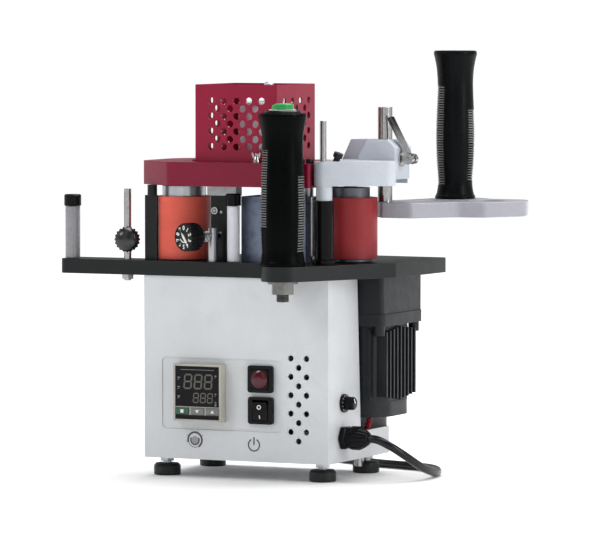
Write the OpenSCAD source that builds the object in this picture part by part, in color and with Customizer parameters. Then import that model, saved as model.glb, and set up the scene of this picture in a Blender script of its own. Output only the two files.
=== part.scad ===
// Portable edge banding machine: a sheet-metal housing carries a table plate, a hanging gear motor,
// two silicone rollers, a heated glue unit under a red drive cover, and a height-adjustable platform.
// Distances are laid out from the housing: x from its left face, y from its front panel, z from the floor.

/* [Housing] */
// Width of the sheet-metal housing
body_w = 187; // [185:1:190]
// Depth of the housing
body_d = 136; // [134:1:140]
// Height of the housing above its floor line
body_h = 168.5; // [166:0.5:170]
// Clear height under the housing
foot_h = 17.5; // [16:0.5:19]
// Thickness of the sheet metal
sheet = 2; // [1.5:0.5:2.5]
// Depth of the bay wall behind the full-height part of the right wall
side_d = 66; // [60:1:66]
// Depth of the right wall where its sloping rear edge starts
side_foot_d = 72; // [66:1:72]
// Height of the low part of the right wall
side_low_h = 25; // [20:1:28]

/* [Table plate] */
// Thickness of the table plate
plate_t = 13.5; // [12:0.5:15]
// Reach of the plate to the left of the housing
plate_left = 87; // [80:1:90]
// Right edge of the plate
plate_right = 228; // [224:1:232]

/* [Rollers] */
// Radius of the feed roller
feed_r = 25.5; // [24:0.5:25.5]
// Radius of the press roller
press_r = 25; // [23:0.5:25]
// Radius of the glue roller
glue_r = 12; // [10:0.5:12]
// Running radius of every pulley
pulley_r = 10.7; // [9:0.1:11]

/* [Head] */
// Underside of the drive cover and the arm
head_z = 269; // [268:0.5:270]
// Height of the drive cover and the arm
head_h = 22; // [21:0.5:24]
// Height of the perforated guard above the cover
guard_h = 71; // [60:1:76]
// Step of the arm above the cover
arm_lift = 2; // [0:0.5:3]
// Hole diameter of the guard
guard_hole = 6.6; // [5:0.1:6.6]

/* [Platform] */
// Underside of the platform at rest
platform_z = 240; // [236:1:242]
// Thickness of the platform
platform_t = 14; // [12:0.5:14]
// Radius of the height rod
rod_r = 6.8; // [6:0.1:7]

/* [Cord] */
// Diameter of the power cord
cord_d = 7.5; // [6:0.5:8]
// Radius of the middle turn of the stored coil
coil_r = 43; // [38:1:45]

/* [Hidden] */
$fn = 48;
gap = 0.3;
fit = 0.05;
x_min = -plate_left;
x_max = 318;
y_min = -55;
y_max = 206;
mid_x = (x_min + x_max) / 2;
mid_y = (y_min + y_max) / 2;

top_z = foot_h + body_h;
table_z = top_z + plate_t;
cover_z = head_z + head_h;
arm_z = head_z + arm_lift;
arm_top = arm_z + head_h;
rear_low_z = 52;
bay_x = 112;

feet_at = [[12.7, 22], [171.5, 22], [171.5, 118], [12.7, 118]];
feed_at = [25.2, 32];
press_at = [184, 55];
drive_at = [148, 93];
glue_at = [143, 49];
pot_at = [101, 56];
gearbox_at = [165.7, 113];
pillar_at = [179.3, 8];
cover_posts_at = [[12, 92], [112, 98]];
tape_roller_at = [-78.2, 8];
pinch_roller_at = [87.8, 8];
stop_at = [-21.5, 9];
tension_at = [66.7, 8];
rod_at = [204, 88];
rear_grip_at = [235.5, 178];
front_grip_at = [157, -33];

panel_x = [18.4, 139.7];
panel_z = [45, 111];
recess = 1;
controller = [35, 53.2, 48.4, 52.7];
controller_out = 10;
key_size = [13.4, 6.2];
key_x = [37.2, 52.7, 68.2];
key_z = 59.4;
key_travel = 0.8;
lamp_at = [119.6, 93.6];
rocker_at = [119.9, 64.8];
rocker_tilt = 9;
bezel_w = 25;
bezel_t = 3;
dial_at = [33, 71.5];
gland_at = [32, 40];

pulley_z = head_z + 4;
pulley_h = 12;
shaft_top = cover_z - 2.7;
belt_t = 1.6;
shaft_r = 6;

guard_x = [48, 131];
guard_y = [10, 92];
guard_t = 1.5;
pot_r = 28;
pot_h = 51;

stop_z = 218.5;
stop_turn = 25;
tension_z = 223;
tension_dir = 247;
lever_at = [235, 76, 294];
lever_tilt = -28;
clamp_h = 18.5;
barrel_r = 5;

cord_r = cord_d / 2;
coil_at = [40, 264];
cord_path = [
    [214, 32, 40], [222, 32, 39], [230, 33.5, 35.5], [238, 38, 30], [244.5, 46, 23.5],
    [248.5, 57, 17], [250.5, 70, 11.5], [251, 84, 7.5], [250, 98, 5], [247, 111, 4.2],
    [242, 123, 4], [235, 134, 4], [226, 143, 4], [215, 150, 4], [203, 155, 4], [190, 159, 4],
    [176, 163, 4], [162, 168, 4], [148, 174, 4], [134, 181, 4], [120, 188.5, 4], [106, 196, 4],
    [92, 203, 4], [78, 208.5, 4], [64, 212, 4], [52, 213.3, 4], [40, 213.5, 4]];
tail_path = [
    [-10.5, 264, 11.3], [-10.5, 275, 10], [-10.5, 286, 8.6], [-10.5, 298, 8.8], [-10.5, 309, 10.6],
    [-10.5, 319, 12.8], [-10.5, 327, 13.8], [-10.5, 333, 14]];

// ---- outlines made of arcs joined by tangents: each corner is [x, y, r], r < 0 turns inward ----
function tangent_angle(a, b) =
    atan2(b[1] - a[1], b[0] - a[0]) - 90 + asin((a[2] - b[2]) / norm([b[0] - a[0], b[1] - a[1]]));
function turn(from, to, r) = let (d = to - from, w = d - 360 * floor(d / 360)) r >= 0 ? w : w - 360;
function arc_steps(sweep) = max(1, ceil(abs(sweep) / 9));
function outline(c) = [for (i = [0:len(c) - 1])
    let (a = tangent_angle(c[(i + len(c) - 1) % len(c)], c[i]),
         b = tangent_angle(c[i], c[(i + 1) % len(c)]),
         sweep = turn(a, b, c[i][2]), n = arc_steps(sweep))
    for (k = [0:n]) let (t = a + sweep * k / n) [c[i][0] + c[i][2] * cos(t), c[i][1] + c[i][2] * sin(t)]];
function grown(c, by) = [for (v = c) [v[0], v[1], v[2] + by]];
function box_corners(x0, y0, x1, y1, r) =
    [[x0 + r, y0 + r, r], [x1 - r, y0 + r, r], [x1 - r, y1 - r, r], [x0 + r, y1 - r, r]];

plate_corners = [[-plate_left + 6, 4, 6], [125, -16, -14], [158.5, -35, 20],
    [plate_right - 5, 60, 5], [plate_right - 2, 158, 8], [116, 168, 4], [107, 143, -5], [2, 132, 6],
    [-9, 37, -5], [-plate_left + 6, 26, 6]];
cover_corners = [[-5.5, 26, 7], [28, 3, 7], [167, -1, 3], [170.5, 18, -3], [161.5, 104, 6],
    [24.5, 73, 37]];
arm_corners = [[pillar_at[0], pillar_at[1], 9.5], [228.5, 33, 10], [232, 58, -6], [218, 92, 8],
    [177, 92, 8]];
belt_corners = [[feed_at[0], feed_at[1], pulley_r + gap], [press_at[0], press_at[1], pulley_r + gap],
    [drive_at[0], drive_at[1], pulley_r + gap]];
platform_corners = [[212, 71, 4], [237, 73, 6], [277, 93, -12], [290, 115, 8], [304, 150, 14],
    [296, 174, 14], [272, 199, -10], [240, 180, 26], [188, 146, -16], [200, 102, 16]];

// ---- helpers ----
module place() {
    translate([-mid_x, -mid_y, 0]) children();
}
module slab(corners, z, h) {
    translate([0, 0, z]) linear_extrude(h) polygon(outline(corners));
}
module disc(at, z, h, r) {
    translate([at[0], at[1], z]) cylinder(r = r, h = h);
}
module hex(at, z, h, r) {
    translate([at[0], at[1], z]) cylinder(r = r, h = h, $fn = 6);
}
module block(x0, y0, z0, x1, y1, z1) {
    translate([x0, y0, z0]) cube([x1 - x0, y1 - y0, z1 - z0]);
}
module front_rod(x, z, y0, y1, r) {
    translate([x, y0, z]) rotate([-90, 0, 0]) cylinder(r = r, h = y1 - y0);
}
module side_rod(y, z, x0, x1, r, sides = 48) {
    translate([x0, y, z]) rotate([0, 90, 0]) cylinder(r = r, h = x1 - x0, $fn = sides);
}
module turned(at, profile) {
    translate([at[0], at[1], 0]) rotate_extrude() polygon(profile);
}
module stop_frame() {
    translate([stop_at[0], stop_at[1], stop_z]) rotate([0, 0, stop_turn]) children();
}
module tension_frame() {
    translate([tension_at[0], tension_at[1], tension_z]) rotate([0, 90, tension_dir]) children();
}

// ---- housing ----
module panel_cuts() {
    block(controller[0] + 2, -1, controller[1] + 2, controller[0] + controller[2] - 2, sheet + 1,
        controller[1] + controller[3] - 2);
    front_rod(lamp_at[0], lamp_at[1], -1, sheet + 1, 8 + gap);
    block(rocker_at[0] - 10, -1, rocker_at[1] - 11, rocker_at[0] + 10, sheet + 1, rocker_at[1] + 11);
    for (i = [0:4]) {
        for (x = [149.5, 165.2]) front_rod(x, 113.5 - 16.8 * i, -1, sheet + 1, 2.8);
        front_rod(157.4, 105.1 - 16.8 * i, -1, sheet + 1, 2.8);
    }
}
module panel_recess() {
    translate([0, recess, 0]) rotate([90, 0, 0]) linear_extrude(recess + 1)
        polygon(outline(box_corners(panel_x[0], panel_z[0], panel_x[1], panel_z[1], 4)));
}
module right_wall() {
    low_z = foot_h + side_low_h;
    translate([body_w - sheet, 0, 0]) rotate([90, 0, 90]) linear_extrude(sheet)
        polygon([[0, foot_h], [body_d, foot_h], [body_d, low_z], [side_foot_d, low_z],
                 [side_d - sheet, top_z], [0, top_z]]);
}
module housing_shell() {
    color("gainsboro") place() difference() {
        union() {
            block(0, 0, foot_h, body_w, sheet, top_z);
            block(0, 0, foot_h, sheet, body_d, top_z);
            right_wall();
        }
        panel_cuts();
        panel_recess();
        side_rod(dial_at[0], dial_at[1], body_w - sheet - 1, body_w + 1, 3.6);
        side_rod(gland_at[0], gland_at[1], body_w - sheet - 1, body_w + 1, 8 + fit);
    }
}
module base_tray() {
    color("gainsboro") place() difference() {
        union() {
            block(sheet, sheet, foot_h, body_w - sheet, body_d, foot_h + sheet);
            block(sheet, body_d - sheet, foot_h, body_w - sheet, body_d, rear_low_z);
        }
        for (f = feet_at) disc(f, foot_h - 1, sheet + 2, 4 + fit);
    }
}
module back_cover() {
    color("gainsboro") place() difference() {
        union() {
            block(sheet, body_d - sheet, rear_low_z, bay_x, body_d, top_z);
            block(bay_x - sheet, side_d - sheet, foot_h + sheet, bay_x, body_d - sheet, top_z);
            block(bay_x, side_d - sheet, foot_h + sheet, body_w - sheet, side_d, top_z);
        }
        for (i = [0:6]) block(26, body_d - sheet - 1, 76 + 12 * i, 88, body_d + 1, 81 + 12 * i);
        block(bay_x + 20, side_d - sheet - 1, 26, bay_x + 34, side_d + 1, 40);
    }
}
module rubber_feet() {
    color("black") place() for (f = feet_at)
        turned(f, [[0, 0], [11.6, 0], [12.4, 1], [12.4, 8.5], [10.5, 11], [0, 11]]);
}
module foot_studs() {
    color("silver") place() for (f = feet_at) {
        disc(f, 11, foot_h + sheet + 8 - 11, 4);
        hex(f, foot_h - 4.5, 4.5, 7);
        hex(f, foot_h + sheet, 4.5, 7);
    }
}

// ---- control panel ----
module controller_case() {
    x = controller[0];
    z = controller[1];
    w = controller[2];
    h = controller[3];
    color("#202124") place() difference() {
        union() {
            block(x, -controller_out, z, x + w, recess, z + h);
            block(x + 2.2, 0, z + 2.2, x + w - 2.2, 60, z + h - 2.2);
        }
        block(x + 1.8, -controller_out - 1, z + 1.8, x + w - 1.8, -controller_out + 0.8, z + h - 1.8);
        for (kx = key_x) block(kx - gap, -controller_out - 1, key_z - gap, kx + key_size[0] + gap,
            -controller_out + 4, key_z + key_size[1] + gap);
    }
}
module key_cap(i) {
    place() block(key_x[i], -controller_out - 0.2, key_z, key_x[i] + key_size[0],
        -controller_out + 4 - key_travel - gap, key_z + key_size[1]);
}
module set_button() {
    color("seagreen") key_cap(0);
}
module down_button() {
    color("dimgray") key_cap(1);
}
module up_button() {
    color("dimgray") key_cap(2);
}
module bezel_frame(at) {
    half = bezel_w / 2;
    translate([0, recess, 0]) rotate([90, 0, 0]) linear_extrude(bezel_t + recess)
        polygon(outline(box_corners(at[0] - half, at[1] - half, at[0] + half, at[1] + half, 2.5)));
}
module panel_bezels() {
    color("black") place() {
        difference() {
            union() {
                bezel_frame(lamp_at);
                front_rod(lamp_at[0], lamp_at[1], 0, 26, 8);
            }
            block(lamp_at[0] - 8.8, -bezel_t - 1, lamp_at[1] - 9.2, lamp_at[0] + 8.8, -1, lamp_at[1] + 9.2);
        }
        difference() {
            union() {
                bezel_frame(rocker_at);
                block(rocker_at[0] - 9.8, 0, rocker_at[1] - 10.8,
                    rocker_at[0] + 9.8, 22, rocker_at[1] + 10.8);
            }
            block(rocker_at[0] - 8, -bezel_t - 1, rocker_at[1] - 9.6, rocker_at[0] + 8, 8,
                rocker_at[1] + 9.6);
        }
    }
}
module indicator_lens() {
    color("crimson") place()
        block(lamp_at[0] - 8.6, -bezel_t - 3, lamp_at[1] - 9, lamp_at[0] + 8.6, -1, lamp_at[1] + 9);
}
module power_rocker() {
    color("#1a1a1a") place() translate([rocker_at[0] - 7.5, 0, rocker_at[1]]) rotate([rocker_tilt, 0, 0])
        rotate([90, 0, 90]) linear_extrude(15)
        polygon([[-5, -8.6], [-3.6, 0], [-5, 8.6], [-1, 8.4], [4, 3], [4, -3], [-1, -8.4]]);
}
module speed_dial() {
    color("black") place() difference() {
        union() {
            side_rod(dial_at[0], dial_at[1], body_w, body_w + 3, 8.5);
            side_rod(dial_at[0], dial_at[1], body_w - sheet - 16, body_w - sheet, 8);
            side_rod(dial_at[0], dial_at[1], body_w - sheet - 1, body_w + 1, 3.5);
        }
        side_rod(dial_at[0], dial_at[1], body_w - 12, body_w + 4, 2 + fit);
    }
}
module speed_knob() {
    color("black") place() {
        side_rod(dial_at[0], dial_at[1], body_w - 11, body_w + 4, 2);
        side_rod(dial_at[0], dial_at[1], body_w + 3 + gap, body_w + 12, 6.2);
    }
}

// ---- mains lead ----
module cable_gland() {
    color("#111111") place() {
        side_rod(gland_at[0], gland_at[1], body_w - 10, body_w + 1, 8);
        side_rod(gland_at[0], gland_at[1], body_w - sheet - 5, body_w - sheet, 11.5, 6);
        side_rod(gland_at[0], gland_at[1], body_w, body_w + 6, 11.8, 6);
        side_rod(gland_at[0], gland_at[1], body_w + 5, body_w + 10, 9.8);
        translate([body_w + 9, gland_at[0], gland_at[1]]) rotate([0, 90, 0])
            rotate_extrude() polygon([[0, 0], [11, 0], [11, 8], [9.5, 11], [7.5, 15], [5.2, 18], [0, 18]]);
    }
}
function unit(v) = v / norm(v);
function heading(p, i) = unit(p[min(i + 1, len(p) - 1)] - p[max(i - 1, 0)]);
function ring(p, i, sides) =
    let (t = heading(p, i), side = unit(cross([0, 0, 1], t)), up = cross(t, side))
    [for (k = [0:sides - 1]) let (a = 360 * k / sides) p[i] + cord_r * (cos(a) * side + sin(a) * up)];
module tube(p, sides = 10) {
    n = len(p);
    points = [for (i = [0:n - 1]) each ring(p, i, sides)];
    walls = [for (i = [0:n - 2]) for (k = [0:sides - 1]) let (j = (k + 1) % sides)
        each [[i * sides + k, (i + 1) * sides + j, i * sides + j],
              [i * sides + k, (i + 1) * sides + k, (i + 1) * sides + j]]];
    first = [for (k = [0:sides - 1]) k];
    last = [for (k = [0:sides - 1]) n * sides - 1 - k];
    polyhedron(points, concat(walls, [first, last]));
}
module power_cord() {
    color("#151515") place() {
        tube(cord_path);
        tube(tail_path);
    }
}
module cord_coil() {
    color("#151515") place() translate([coil_at[0], coil_at[1], 0]) rotate_extrude()
        polygon([[coil_r - 1.5 * cord_d, 0], [coil_r + 1.5 * cord_d, 0],
                 [coil_r + 1.5 * cord_d, 2 * cord_d], [coil_r - 1.5 * cord_d, 2 * cord_d]]);
}
module power_plug() {
    end = tail_path[len(tail_path) - 1];
    color("#151515") place() translate(end) rotate([-90, 0, 0]) {
        rotate_extrude() polygon([[0, 0], [5, 0], [6, 14], [10, 20], [13.5, 26], [13.5, 44],
            [12, 46], [0, 46]]);
        for (side = [-9.5, 9.5]) translate([side, 0, 45]) cylinder(r = 2.4, h = 20);
    }
}

// ---- inside the housing ----
module control_board() {
    color("darkgreen") place() {
        block(14, 64, 30, 94, 124, 31.6);
        for (x = [26, 88]) for (y = [70, 118]) disc([x, y], foot_h + sheet, 11, 2.6);
        block(22, 80, 31.6, 52, 112, 58);
        block(58, 68, 31.6, 90, 78, 44);
        for (i = [0:2]) disc([64 + 10 * i, 92], 31.6, 22, 4.5);
        block(58, 102, 31.6, 88, 106, 56);
    }
}

// ---- table plate and gear motor ----
module table_plate() {
    color("#1b1b1d") place() difference() {
        slab(plate_corners, top_z, plate_t);
        for (at = [feed_at, press_at, glue_at]) disc(at, table_z - 12, 13, 11 + fit);
        disc(drive_at, top_z - 1, plate_t + 2, shaft_r + 1);
        disc(tape_roller_at, top_z - 1, plate_t + 2, 3 + fit);
        disc(pinch_roller_at, top_z - 1, plate_t + 2, 3 + fit);
        disc(stop_at, top_z - 1, plate_t + 2, 3.5 + fit);
        disc(front_grip_at, top_z - 1, plate_t + 2, 5.5 + fit);
    }
}
module rounded_box(at, half, r, z, h) {
    slab(box_corners(at[0] - half, at[1] - half, at[0] + half, at[1] + half, r), z, h);
}
module gearbox() {
    color("#26282b") place() difference() {
        union() {
            rounded_box(gearbox_at, 45, 4, 150, top_z - 150);
            rounded_box(gearbox_at, 46, 6, 140, 11);
            for (sx = [-1, 1]) for (sy = [-1, 1])
                disc([gearbox_at[0] + sx * 39, gearbox_at[1] + sy * 39], 131, 10, 5);
        }
        disc(drive_at, 168, 20, shaft_r + fit);
    }
}
module motor_body() {
    color("#26282b") place() {
        rounded_box(gearbox_at, 40, 22, 68, 72);
        rounded_box(gearbox_at, 41, 27, 55, 14);
        for (side = [-1, 1]) for (i = [-4:4])
            translate([gearbox_at[0] + side * 35, gearbox_at[1] + 8 * i, 104])
                cube([18, 2.6, 68 - 2 * abs(i)], center = true);
        for (side = [-1, 1]) for (i = [-1, 1])
            translate([gearbox_at[0] + 30 * i, gearbox_at[1] + side * 36, 104])
                cube([3, 13, 64], center = true);
    }
}

// ---- drive train, inside the cover ----
module spindle(at, r, z0, z1, shaft) {
    turned(at, [[0, table_z - 11.5], [shaft, table_z - 11.5], [shaft, z0], [r, z0], [r, z1], [shaft, z1],
        [shaft, pulley_z], [pulley_r, pulley_z], [pulley_r, pulley_z + pulley_h],
        [shaft, pulley_z + pulley_h], [shaft, shaft_top], [0, shaft_top]]);
}
module drive_pulley() {
    color("silver") place() turned(drive_at, [[0, 169], [shaft_r, 169], [shaft_r, pulley_z],
        [pulley_r, pulley_z], [pulley_r, pulley_z + pulley_h], [shaft_r, pulley_z + pulley_h],
        [shaft_r, shaft_top], [0, shaft_top]]);
}
module feed_core() {
    color("silver") place() spindle(feed_at, 20, table_z + 0.8, head_z - 0.8, shaft_r);
}
module feed_tyre() {
    color("#e4553d") place() difference() {
        disc(feed_at, table_z + 1, 58, feed_r);
        disc(feed_at, table_z, 62, 20 + fit);
    }
}
module press_core() {
    color("dimgray") place() {
        spindle(press_at, 18, table_z + 0.8, head_z - 0.8, shaft_r);
        disc(press_at, table_z + 0.8, 2.7, 20.5);
    }
}
module press_tyre() {
    color("#a8322c") place() difference() {
        disc(press_at, table_z + 3.6, 56, press_r);
        disc(press_at, table_z, 62, 18 + fit);
    }
}
module glue_roller() {
    color("silver") place() spindle(glue_at, glue_r, table_z + 5, head_z - 10, shaft_r);
}
module drive_belt() {
    color("#222222") place() translate([0, 0, pulley_z + 1]) linear_extrude(pulley_h - 2) difference() {
        polygon(outline(grown(belt_corners, belt_t)));
        polygon(outline(belt_corners));
    }
}
module shaft_bearings() {
    color("silver") place() {
        for (at = [feed_at, press_at, glue_at]) difference() {
            disc(at, table_z - 12, 11.5, 11);
            disc(at, table_z - 13, 14, shaft_r + fit);
        }
        for (at = [feed_at, press_at, glue_at, drive_at]) difference() {
            disc(at, pulley_z + pulley_h + gap, cover_z - 2 - pulley_z - pulley_h - gap, 9);
            disc(at, pulley_z, pulley_h + 10, shaft_r + fit);
        }
    }
}
module belt_space() {
    slab(grown(belt_corners, belt_t + 2), head_z - 1, pulley_z + pulley_h + 2.5 - head_z);
}

// ---- glue unit ----
module glue_block() {
    color("#8d9aac") place() difference() {
        union() {
            block(90, 20, table_z, 128, 75, 259.5);
            block(90, 20, table_z, 155, 32, 259.5);
        }
        for (x = [98, 120]) front_rod(x, 215, 36, 76, 3 + fit);
        disc(pot_at, 235, 30, 4);
        block(pot_at[0], 46, 235, 129, 52, 243);
    }
}
module heater_rods() {
    color("silver") place() for (x = [98, 120]) front_rod(x, 215, 37, 86, 3);
}
module glue_pot() {
    color("#c8ccd4") place() difference() {
        union() {
            disc(pot_at, cover_z, pot_h, pot_r);
            disc(pot_at, 259.5, cover_z - 259.5 + 1, 7);
        }
        disc(pot_at, cover_z + 5, pot_h, pot_r - 3);
        disc(pot_at, 259, 40, 4);
    }
}
module pot_lid() {
    top = cover_z + pot_h;
    color("#c8ccd4") place() turned(pot_at, [[0, top - 3], [pot_r - 3 - gap, top - 3],
        [pot_r - 3 - gap, top + gap], [pot_r, top + gap], [pot_r, top + 3], [3, top + 5], [3, top + 14],
        [4.5, top + 16], [4.5, top + 20], [3, top + 22], [0, top + 22.5]]);
}
module drive_cover() {
    color("#a01f38") place() difference() {
        slab(cover_corners, head_z, head_h);
        slab(grown(cover_corners, -3), head_z - 1, head_h - 1);
        belt_space();
        disc(pot_at, cover_z - 3, 4, 7 + gap);
    }
}
module guard_holes() {
    for (row = [0:6]) let (z = cover_z + 14 + row * 7, odd = row % 2) {
        for (i = [0:4 - odd])
            front_rod(guard_x[0] + 16 + 12.8 * (i + odd / 2), z,
                guard_y[0] - 1, guard_y[1] + 1, guard_hole / 2);
        for (i = [0:3 - odd])
            side_rod(guard_y[0] + 16 + 17.5 * (i + odd / 2), z,
                guard_x[0] - 1, guard_x[1] + 1, guard_hole / 2);
    }
}
module perforated_guard() {
    color("#a01f38") place() difference() {
        union() {
            block(guard_x[0], guard_y[0], cover_z, guard_x[1], guard_y[1], cover_z + guard_h);
            for (y = [24, 78])
                block(guard_x[0] - 10, y, cover_z, guard_x[0] + 1, y + 10, cover_z + guard_t);
        }
        block(guard_x[0] + guard_t, guard_y[0] + guard_t, cover_z - 1, guard_x[1] - guard_t,
            guard_y[1] - guard_t, cover_z + guard_h + 1);
        guard_holes();
    }
}
module cap_screw(r) {
    cylinder(r = r, h = 4);
    translate([0, 0, 4]) cylinder(r = r * 0.85, h = 0.6);
}
module machine_screws() {
    color("#3a3a3c") place() {
        for (at = [[12, 92], [112, 104], [157, 6], [165, 8]])
            translate([at[0], at[1], cover_z]) cap_screw(3.5);
        for (y = [29, 83]) translate([guard_x[0] - 5, y, cover_z + guard_t]) cap_screw(3);
        translate([184, 24, arm_top]) rotate([0, 20, 0]) translate([0, 0, -2]) {
            cylinder(r = 3, h = 6);
            translate([0, 0, 5.5]) cylinder(r = 4.4, h = 4.5);
        }
        for (x = [10, 50, 100]) for (z = [60, 178])
            translate([x, body_d, z]) rotate([-90, 0, 0]) cylinder(r = 3, h = 1.6);
    }
}

// ---- tape path ----
module infeed_block() {
    color("#1c1e22") place() {
        block(-3.1, 8, table_z, 9.2, 11, 259.5);
        disc([3.9, 9.5], 259, head_z - 259, 4.5);
    }
}
module roller_post(at, r, roller_top, cap_r, cap_h) {
    disc(at, top_z, roller_top + 2 - top_z, r);
    turned(at, [[0, roller_top + gap], [cap_r, roller_top + gap], [cap_r, roller_top + cap_h - 1],
        [cap_r - 1, roller_top + cap_h], [0, roller_top + cap_h]]);
}
module roller_posts() {
    color("#151515") place() {
        roller_post(tape_roller_at, 3, 248, 8, 11);
        roller_post(pinch_roller_at, 3, 251, 7, 11.5);
    }
}
module sleeve(at, r, z0, z1) {
    difference() {
        disc(at, z0, z1 - z0, r);
        disc(at, z0 - 1, z1 - z0 + 2, 3 + fit);
    }
}
module tape_roller() {
    color("#8a8a8e") place() sleeve(tape_roller_at, 7, table_z + 0.5, 248);
}
module pinch_roller() {
    color("#dfe2e8") place() sleeve(pinch_roller_at, 5.8, table_z + 0.5, 251);
}
module stop_rod() {
    color("silver") place() {
        disc(stop_at, top_z - 6, 265 - top_z + 6, 3.5);
        hex(stop_at, top_z - 4.5, 4.5, 6);
    }
}
module stop_collar() {
    color("#222222") place() stop_frame() difference() {
        block(-6, -5, -7, 6, 6, 7);
        disc([0, 0], -8, 16, 3.5 + fit);
    }
}
module stop_knob() {
    color("#151515") place() stop_frame() translate([0, -5 - gap, 0]) rotate([90, 0, 0]) rotate_extrude()
        polygon([[0, 0], [8, 0], [12, 2], [12, 5], [10.6, 8], [7.5, 10.5], [3.5, 12], [0, 12.3]]);
}
module tension_post() {
    color("silver") place() difference() {
        disc(tension_at, table_z, 31, 4.5);
        tension_frame() translate([0, 0, -10]) cylinder(r = 2.5 + fit, h = 20);
    }
}
module tension_spring() {
    color("silver") place() tension_frame() translate([0, 0, 5.4]) difference() {
        cylinder(r = 5, h = 9);
        translate([0, 0, -1]) cylinder(r = 3.6, h = 11);
    }
}
module tension_knob() {
    color("#151515") place() tension_frame() rotate_extrude() polygon([[0, -8], [2.5, -8], [2.5, 15],
        [7, 15], [10, 18], [13, 20], [13, 35], [11.5, 36], [0, 36]]);
}
module cutter_plate() {
    color("#1c1e22") place() {
        block(57, 24, table_z, 71, 29, 259.5);
        block(71, 20, table_z, 77.5, 23, 259.5);
    }
}
module cutter_bar() {
    color("silver") place() block(54, 22, 259.5, 84, 34, head_z);
}

// ---- arm, clamp and platform ----
module gusset(y0, y1, x_top, run) {
    translate([0, y1, 0]) rotate([90, 0, 0]) linear_extrude(y1 - y0)
        polygon([[x_top - run, arm_top - 1], [201, arm_top - 1], [201, arm_top + clamp_h],
                 [x_top, arm_top + clamp_h]]);
}
module clamp_block() {
    translate([0, 98, 0]) rotate([90, 0, 0]) linear_extrude(38)
        polygon([[200, arm_top - 1], [226, arm_top - 1], [226, arm_top + clamp_h - 7],
                 [219, arm_top + clamp_h], [200, arm_top + clamp_h]]);
    block(176, 78, arm_top - 1, 201, 98, arm_top + clamp_h);
    gusset(60, 66, 198, 10);
    gusset(78, 84, 174, 9);
}
module support_arm() {
    color("white") place() difference() {
        union() {
            slab(arm_corners, arm_z, head_h);
            disc(pillar_at, 257.5, arm_z - 257.5 + 1, 7.5);
            clamp_block();
        }
        belt_space();
        disc(press_at, head_z - 1, pulley_z + pulley_h + 2 - head_z, 15);
        disc(press_at, head_z - 1, cover_z - 2 - head_z + 1, 9 + fit);
        disc(rod_at, arm_z - 1, head_h + 24, rod_r + fit);
        side_rod(lever_at[1], lever_at[2], 217, 227, 3 + fit);
        front_rod(lever_at[0], lever_at[2], lever_at[1] - 10, lever_at[1] + 9, barrel_r + 0.5);
        block(212, 62, arm_z - 1, 233, 99, arm_z + 4.5);
    }
}
module support_pillars() {
    color("#1c1e22") place() {
        turned(pillar_at, [[0, table_z], [11, table_z], [11, table_z + 4], [8.8, table_z + 5],
            [8.8, 257.5], [0, 257.5]]);
        for (at = cover_posts_at) disc(at, table_z, cover_z - 2 - table_z, 6);
    }
}
module tie_rod() {
    color("silver") place() disc([pillar_at[0] - 1, pillar_at[1]], arm_top, 37, 3);
}
module clamp_bolt() {
    y = lever_at[1];
    color("silver") place() {
        side_rod(y, lever_at[2], 218, 227, 3);
        side_rod(y, lever_at[2], 226, 227.2, 7);
        translate([227, y - 1.8, lever_at[2] - 2]) cube([lever_at[0] - 227, 3.6, 4]);
        front_rod(lever_at[0], lever_at[2], y - 1.8, y + 1.8, 4);
        front_rod(lever_at[0], lever_at[2], y - 8, y + 8, 1.5);
    }
}
module clamp_lever() {
    color("silver") place() translate(lever_at) difference() {
        union() {
            translate([0, -7, 0]) rotate([-90, 0, 0]) cylinder(r = barrel_r, h = 14);
            rotate([0, lever_tilt, 0]) translate([-1.8, -4.5, 3]) cube([3.6, 9, 40]);
        }
        translate([0, -8, 0]) rotate([-90, 0, 0]) cylinder(r = 1.5 + fit, h = 16);
        translate([0, -2.2, 0]) rotate([-90, 0, 0]) cylinder(r = barrel_r + 0.4, h = 4.4);
        rotate([0, 180, 0]) translate([0, -2.2, -5]) cube([8, 4.4, 10]);
    }
}
module height_rod() {
    color("silver") place() disc(rod_at, platform_z, 101, rod_r);
}
module platform() {
    color("white") place() difference() {
        slab(platform_corners, platform_z, platform_t);
        disc(rod_at, platform_z - 1, platform_t + 2, rod_r + fit);
        disc([232, 122], platform_z + platform_t - 2, 3, 11);
        disc([281, 148], platform_z + platform_t - 2, 3, 17);
    }
}
module rear_grip() {
    base = platform_z + platform_t;
    color("#1a1a1b") place() turned(rear_grip_at, [[0, base], [18, base], [18.8, base + 1.5],
        [18, base + 6], [16, base + 16], [17.6, base + 35], [18.2, base + 60], [17.2, base + 90],
        [16.6, base + 112], [17.6, base + 122], [20, base + 134], [19.5, base + 137], [0, base + 138]]);
}
module front_grip() {
    color("#151516") place() difference() {
        turned(front_grip_at, [[0, table_z], [20.5, table_z], [20.5, table_z + 3], [18.8, table_z + 14],
            [20, table_z + 40], [19.6, table_z + 75], [18.4, table_z + 105], [19, table_z + 120],
            [21.8, table_z + 134], [21.8, table_z + 137], [16, table_z + 141], [0, table_z + 141]]);
        disc(front_grip_at, table_z + 131, 12, 10 + gap);
    }
}
module green_button() {
    color("limegreen") place() translate([front_grip_at[0], front_grip_at[1], table_z + 136])
        difference() {
            cylinder(r = 10, h = 11);
            translate([-20, -20, 6.5]) rotate([0, -14, 0]) translate([-10, 0, 0]) cube([60, 40, 20]);
        }
}
module handle_nut() {
    color("silver") place() {
        disc(front_grip_at, top_z - 2.5, 2.5, 13.7);
        hex(front_grip_at, top_z - 12, 9.6, 11);
        disc(front_grip_at, top_z - 19, plate_t + 18.9, 5.5);
    }
}

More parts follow.
